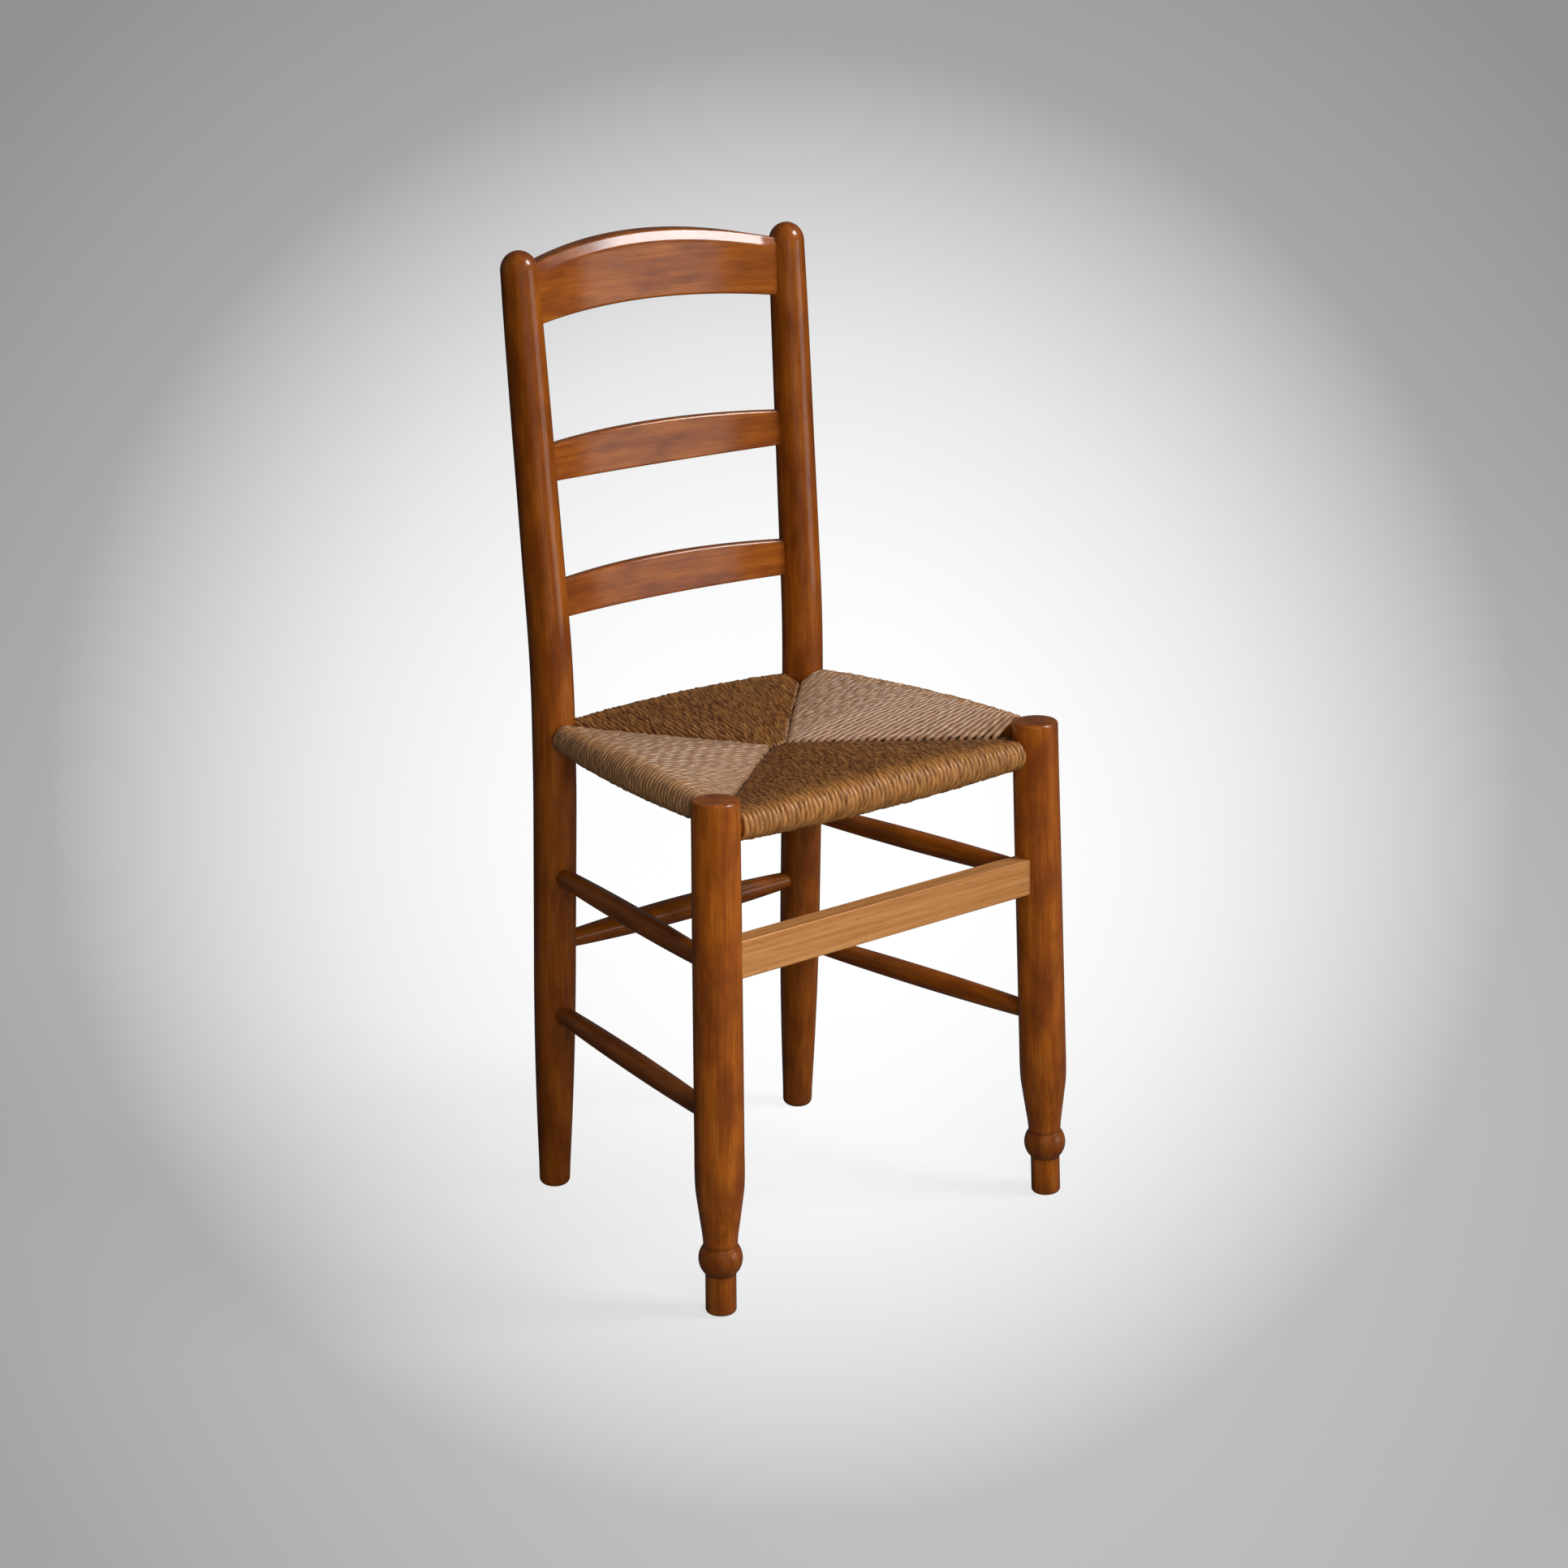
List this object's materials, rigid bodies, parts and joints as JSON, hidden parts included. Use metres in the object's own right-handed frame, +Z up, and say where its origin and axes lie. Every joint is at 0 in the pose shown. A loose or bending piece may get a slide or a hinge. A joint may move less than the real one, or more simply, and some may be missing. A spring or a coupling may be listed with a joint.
{
  "type": "ladderback chair",
  "caption": "Armless wooden dining chair with a ladder back of bowed slats, turned legs, round stretchers and a woven rush seat.",
  "frame": {"origin": "centre of the chair's outline on the floor, under the seat", "axes": "+Z up, the chair faces -Y, and +X is to the right as seen from the front"},
  "size_m": [0.4318, 0.3774, 0.9057],
  "materials": {
    "lacquered_wood": "satin lacquer over stain",
    "pale_wood": "satin lacquer, straight grained",
    "rush": "twisted rush cord",
    "stuffing": "loose dry fibre"
  },
  "bodies": {
    "root": {"back_post_left": "lacquered_wood", "back_post_right": "lacquered_wood", "back_stretcher": "lacquered_wood", "crest_rail": "lacquered_wood", "front_leg_left": "lacquered_wood", "front_leg_right": "lacquered_wood", "front_stretcher": "pale_wood", "lower_slat": "lacquered_wood", "middle_slat": "lacquered_wood", "rush_back": "rush", "rush_front": "rush", "rush_left": "rush", "rush_right": "rush", "seat_rail_back": "lacquered_wood", "seat_rail_front": "lacquered_wood", "seat_rail_left": "lacquered_wood", "seat_rail_right": "lacquered_wood", "side_stretcher_lower_left": "lacquered_wood", "side_stretcher_lower_right": "lacquered_wood", "side_stretcher_upper_left": "lacquered_wood", "side_stretcher_upper_right": "lacquered_wood", "stuffing_back": "stuffing", "stuffing_front": "stuffing", "stuffing_left": "stuffing", "stuffing_right": "stuffing"}
  },
  "joints": []
}
